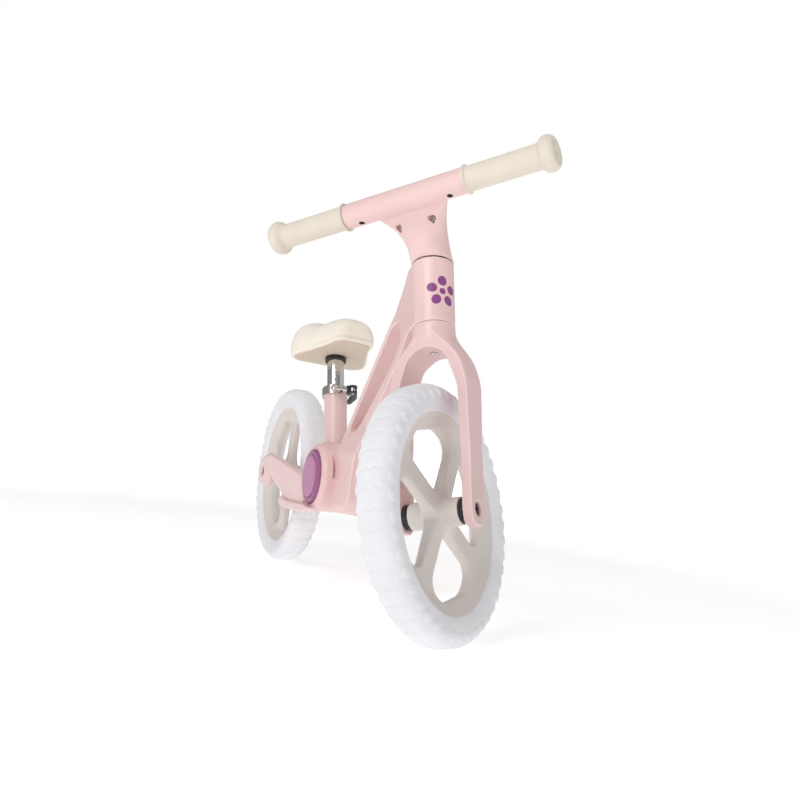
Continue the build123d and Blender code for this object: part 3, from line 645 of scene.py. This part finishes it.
def cushion():
    """Moulded foam cushion under a stretched cover, with a lip line round its lower edge."""
    outline = saddle_outline()
    rows = []
    for inset, height in SKIRT:
        row = []
        for j in range(ROUND_STEPS):
            x, y = toward_edge(outline, j, 1.0, inset * MM)
            row.append(saddle_place @ Vector((x, y, height * MM)))
        rows.append(row)
    rows.append(seam_row(outline))
    for i in range(SADDLE_RINGS):
        phi = pi / 2 * min(i / (SADDLE_RINGS - 1), 0.995)
        share = cos(phi) ** 0.68
        rise = sin(phi) ** 0.86
        belly = 0.9 * MM * (1 - smooth_step(0.0, 0.22, rise))
        row = []
        for j in range(ROUND_STEPS):
            x, y = toward_edge(outline, j, share, belly)
            row.append(saddle_place @ Vector((x, y, LIP + (cushion_top(x, y) - LIP) * rise)))
        rows.append(row)
    mesh = bpy.data.meshes.new("saddle_cover")
    points = [point for row in rows for point in row]
    faces = []
    for i in range(len(rows) - 1):
        for j in range(ROUND_STEPS):
            beside = (j + 1) % ROUND_STEPS
            row, above = i * ROUND_STEPS, (i + 1) * ROUND_STEPS
            faces.append((row + j, row + beside, above + beside, above + j))
    last = (len(rows) - 1) * ROUND_STEPS
    mesh.from_pydata(points, [], faces)
    work = bmesh.new()
    work.from_mesh(mesh)
    work.verts.ensure_lookup_table()
    cap_strip(work, last)
    cap_strip(work, 0)
    bmesh.ops.remove_doubles(work, verts=work.verts, dist=0.5 * MM)
    bmesh.ops.recalc_face_normals(work, faces=work.faces)
    work.to_mesh(mesh)
    work.free()
    piece = new_piece("saddle_cover", mesh, looks["cream_cover"], "saddle")
    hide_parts("saddle_cushion")
    return piece


def cap_strip(work, first):
    """Close a ring that has shrunk to a line, by quads across it."""
    for j in range(ROUND_STEPS // 2):
        a, b = first + j, first + (j + 1) % ROUND_STEPS
        c, d = first + ROUND_STEPS - 1 - j, first + (ROUND_STEPS - j) % ROUND_STEPS
        corners = []
        for index in (a, b, c, d):
            if work.verts[index] not in corners:
                corners.append(work.verts[index])
        if len(corners) > 2:
            work.faces.new(corners)


# ---- emblem ----

EMBLEM_REACH = 13.5 * MM           # from the flower's middle to the middle of a petal
EMBLEM_EYE = 4.4 * MM              # radius of the middle spot
PETAL_LONG = 7.0 * MM
PETAL_WIDE = 6.4 * MM
PRINT_LIFT = 0.28 * MM             # the print stands this far off the paint
PRINT_ROOT = -0.4 * MM             # and its edge goes this far into it

def emblem():
    """A plain five-petal flower printed on the front of the head tube."""
    work = bmesh.new()
    add_spot(work, 0.0, 0.0, 0.0, EMBLEM_EYE, EMBLEM_EYE)
    for i in range(5):
        turn = 2 * pi * i / 5 + pi / 2
        add_spot(work, EMBLEM_REACH * cos(turn), EMBLEM_REACH * sin(turn), turn, PETAL_LONG, PETAL_WIDE)
    mesh = bpy.data.meshes.new("head_emblem")
    work.to_mesh(mesh)
    work.free()
    return new_piece("head_emblem", mesh, emblem_paint(), "frame")


def add_spot(work, across, along, turn, long_half, wide_half):
    """An oval patch with a rounded edge, wrapped on the head tube."""
    rows, around = 5, 40
    centre = work.verts.new(on_head(across, along, PRINT_LIFT))
    before = None
    for i in range(1, rows + 1):
        share = i / rows
        height = PRINT_LIFT if i < rows else PRINT_ROOT
        row = []
        for j in range(around):
            spin = 2 * pi * j / around
            a, b = long_half * share * cos(spin), wide_half * share * sin(spin)
            row.append(work.verts.new(on_head(across + a * cos(turn) - b * sin(turn),
                                              along + a * sin(turn) + b * cos(turn), height)))
        for j in range(around):
            k = (j + 1) % around
            inner = (before[k], before[j]) if before else (centre,)
            work.faces.new((*inner, row[j], row[k]))
        before = row


def on_head(across, along, lift):
    """A point on the head tube's front, across and along it from the emblem's middle."""
    radius = HEAD_RADIUS + lift
    turn = across / HEAD_RADIUS
    return head_place @ Vector((radius * cos(turn), radius * sin(turn), EMBLEM_ALONG + along))


# ---- stage, light and camera ----

FLOOR_REACH = 60.0                 # half the floor's side
GLOW_NEAR = 0.42                   # the floor's own light near the bike, so that shadows stay soft
GLOW_FAR = 1.0                     # and far away, where it turns as white as the backdrop
WORLD_STRENGTH = 0.5
LIGHT_TARGET = Vector((0.3, 0, 0.25))


def floor():
    """Pale floor that fades to white with distance."""
    mesh = bpy.data.meshes.new("floor")
    height = cad_box[0].z
    mesh.from_pydata([(-FLOOR_REACH, -FLOOR_REACH, height), (FLOOR_REACH, -FLOOR_REACH, height),
                      (FLOOR_REACH, FLOOR_REACH, height), (-FLOOR_REACH, FLOOR_REACH, height)],
                     [], [(0, 1, 2, 3)])
    plane = bpy.data.objects.new("floor", mesh)
    bpy.context.scene.collection.objects.link(plane)
    look = Look("floor").set(Roughness=0.9, Emission_Strength=1.0, Specular_IOR_Level=0.1)
    distance = look.nodes.new("ShaderNodeVectorMath")
    distance.operation = "LENGTH"
    look.links.new(look.place, distance.inputs[0])
    away = look.ramp(distance.outputs["Value"], 0.9, 3.0)
    glow = look.mix(away, (GLOW_NEAR,) * 3, (GLOW_FAR,) * 3)
    look.links.new(glow, look.shader.inputs["Emission Color"])
    look.colour(look.mix(look.ramp(look.noise(2, 2), 0.3, 0.7), (0.93, 0.93, 0.93), (0.95, 0.95, 0.95)))
    mesh.materials.append(look.material)


def surroundings():
    """White backdrop for the camera, and soft lighter and darker bands for everything else to reflect."""
    world = bpy.data.worlds.new("studio")
    bpy.context.scene.world = world
    world.use_nodes = True
    nodes, links = world.node_tree.nodes, world.node_tree.links
    light = nodes["Background"]
    light.inputs["Strength"].default_value = WORLD_STRENGTH
    direction = nodes.new("ShaderNodeTexCoord").outputs["Generated"]
    bands = nodes.new("ShaderNodeTexNoise")
    bands.inputs["Scale"].default_value = 1.6
    bands.inputs["Detail"].default_value = 1
    links.new(direction, bands.inputs["Vector"])
    contrast = nodes.new("ShaderNodeValToRGB")
    dark, bright = contrast.color_ramp.elements[0], contrast.color_ramp.elements[1]
    dark.position = 0.42
    dark.color = (0.55, 0.53, 0.52, 1)
    bright.position = 0.56
    bright.color = (1.12, 1.12, 1.13, 1)
    links.new(bands.outputs["Fac"], contrast.inputs["Fac"])
    links.new(contrast.outputs["Color"], light.inputs["Color"])
    backdrop = nodes.new("ShaderNodeBackground")
    backdrop.inputs["Color"].default_value = (1, 1, 1, 1)
    chooser = nodes.new("ShaderNodeMixShader")
    links.new(nodes.new("ShaderNodeLightPath").outputs["Is Camera Ray"], chooser.inputs["Fac"])
    links.new(light.outputs["Background"], chooser.inputs[1])
    links.new(backdrop.outputs["Background"], chooser.inputs[2])
    links.new(chooser.outputs["Shader"], nodes["World Output"].inputs["Surface"])


def lights():
    """One large key light ahead and to the rider's right, one from above and a gentle fill."""
    add_light("key", Vector((1.5, -1.9, 1.9)), 1.3, 25)
    add_light("top", Vector((0.4, 0.2, 2.4)), 1.6, 8)
    add_light("fill", Vector((1.9, 1.6, 0.7)), 1.6, 1.5)


def add_light(name, place, size, power):
    """A square area light aimed at the middle of the bike, size in metres and power in watts."""
    data = bpy.data.lights.new(name, "AREA")
    data.size = size
    data.energy = power
    lamp = bpy.data.objects.new(name, data)
    lamp.location = place
    lamp.rotation_euler = (LIGHT_TARGET - place).to_track_quat("-Z", "Y").to_euler()
    bpy.context.scene.collection.objects.link(lamp)


CAMERA_PLACE = Vector((1.52143, -0.43817, 0.20654))
CAMERA_YAW = radians(-22.44)
CAMERA_PITCH = radians(1.91)
CAMERA_ROLL = radians(6.74)
CAMERA_LENS = 41.52
CAMERA_SHIFT = 0.0248


def camera():
    """A viewpoint low down, ahead and to the rider's right, with a slight roll."""
    yaw, pitch, roll = CAMERA_YAW, CAMERA_PITCH, CAMERA_ROLL
    ahead = Vector((-cos(yaw), -sin(yaw), 0))
    right = ahead.cross(Vector((0, 0, 1)))
    sight = ahead * cos(pitch) + right.cross(ahead) * sin(pitch)
    level_up = right.cross(sight)
    across = right * cos(roll) + level_up * sin(roll)
    up = across.cross(sight)
    data = bpy.data.cameras.new("camera")
    data.sensor_width = 36
    data.lens = CAMERA_LENS
    data.shift_y = CAMERA_SHIFT
    data.clip_start = 0.01
    eye = bpy.data.objects.new("camera", data)
    eye.matrix_world = Matrix.Translation(CAMERA_PLACE) @ Matrix((across, up, -sight)).transposed().to_4x4()
    bpy.context.scene.collection.objects.link(eye)
    bpy.context.scene.camera = eye


# ---- build ----

own_looks = {"seatpost": chrome("dimpled_chrome", pitted=True),
             "stem_pinch_screws": ground_steel("dull_screw", (0.42, 0.36, 0.35), 0.4)}
for node_name, node in frame["nodes"].items():
    for material_slot in node.material_slots:
        material_slot.material = own_looks.get(node_name, looks[slot_of[node_name]])

# voxel size and rounds of smoothing for the pieces that are softened copies of their CAD nodes
CAST = {"frame": (1.1 * MM, 6), "fork": (1.1 * MM, 8), "stem": (0.6 * MM, 12),
        "left_grip": (0.8 * MM, 3), "right_grip": (0.8 * MM, 3)}
for node_name, (voxel, rounds) in CAST.items():
    cast_copy(node_name, voxel, rounds)

for end, place in (("front", front_wheel_place), ("rear", rear_wheel_place)):
    wheel(end, place)
    tyre(end, place)
cushion()
emblem()
floor()
surroundings()
lights()
camera()
bpy.context.scene.view_settings.view_transform = "Standard"

bpy.context.view_layer.update()
